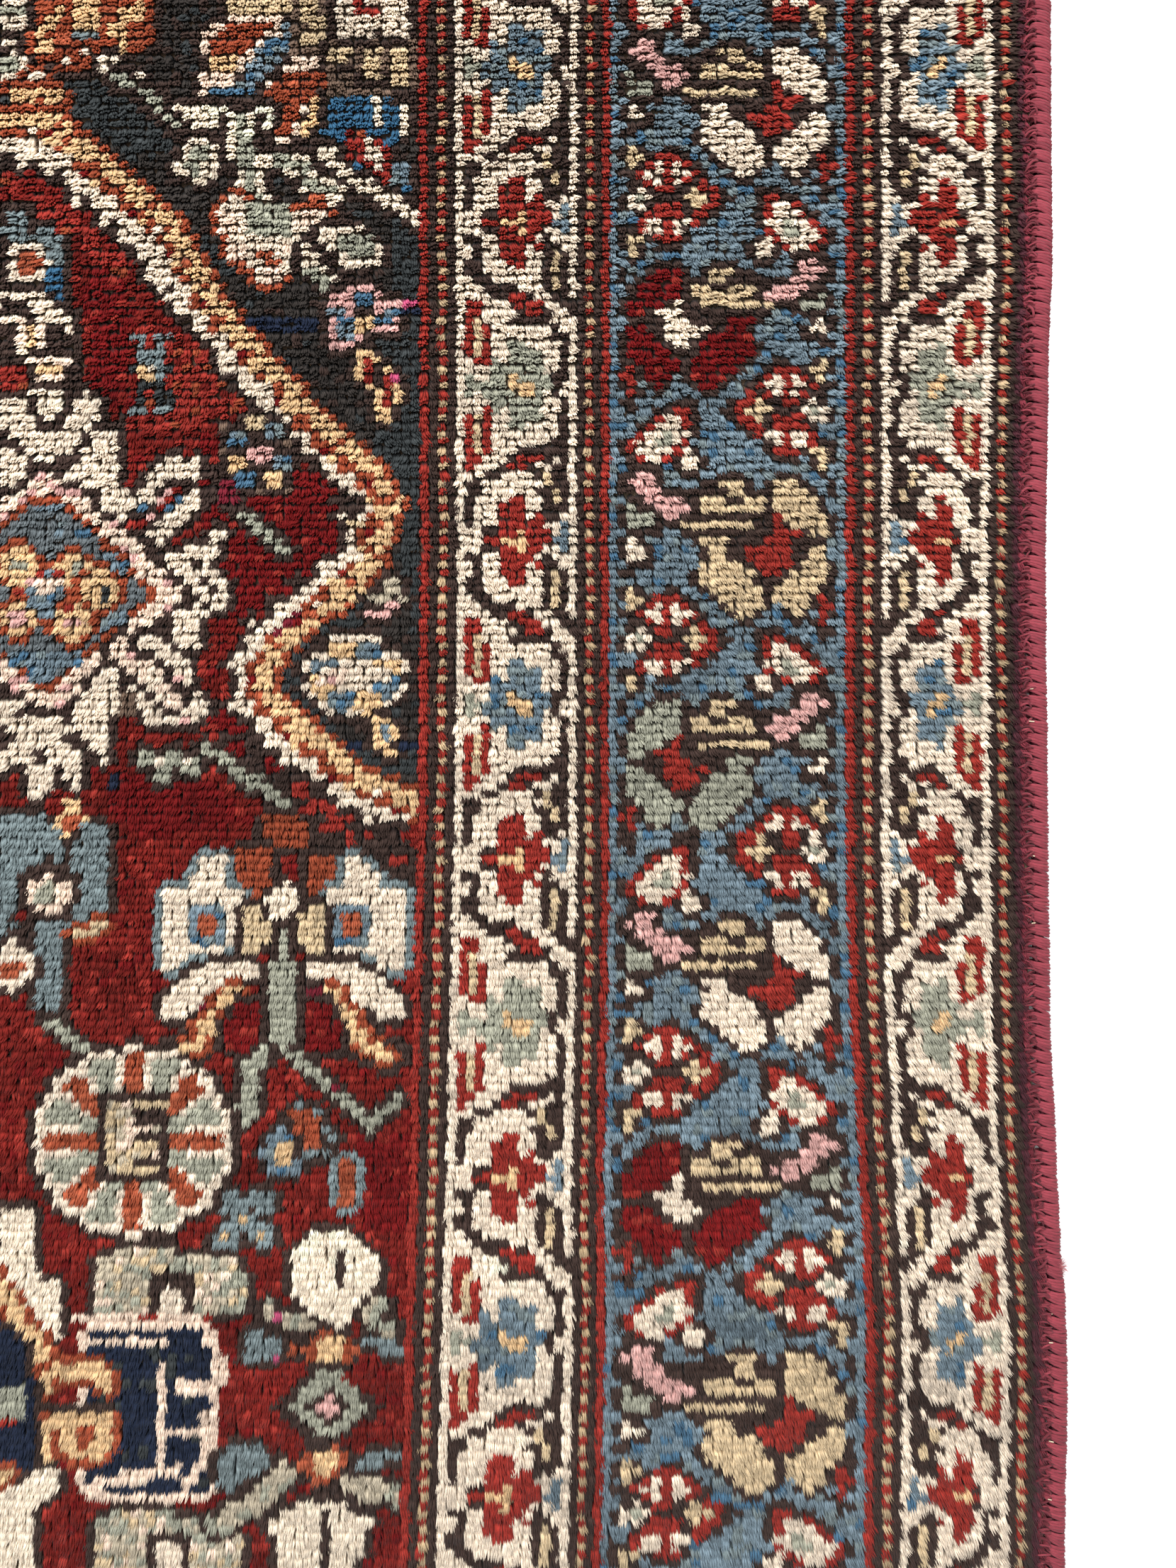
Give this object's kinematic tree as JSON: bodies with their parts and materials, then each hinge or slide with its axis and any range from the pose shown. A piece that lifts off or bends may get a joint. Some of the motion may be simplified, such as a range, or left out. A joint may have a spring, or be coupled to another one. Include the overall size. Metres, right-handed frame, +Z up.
{
  "type": "persian rug",
  "caption": "Cut length of a hand-knotted wool rug lying flat: part of the field with the whole side border, one edge overcast with yarn, the other three cut straight.",
  "frame": {"origin": "centre of the bounding box in plan, on the surface that the rug lies on", "axes": "+Z up, out of the pile; +Y along the overcast edge, against the lean of the pile; +X from the field towards the overcast edge"},
  "size_m": [0.414, 0.63, 0.009],
  "materials": {
    "wool_pile": "cut wool pile, soft and slightly lustrous, in red, ivory, blue, dark brown and gold",
    "overcast_yarn": "crimson wool yarn wound tight over the edge, matt"
  },
  "bodies": {
    "root": {"knotted_rug": "wool_pile", "overcast_edge": "overcast_yarn"}
  },
  "joints": []
}
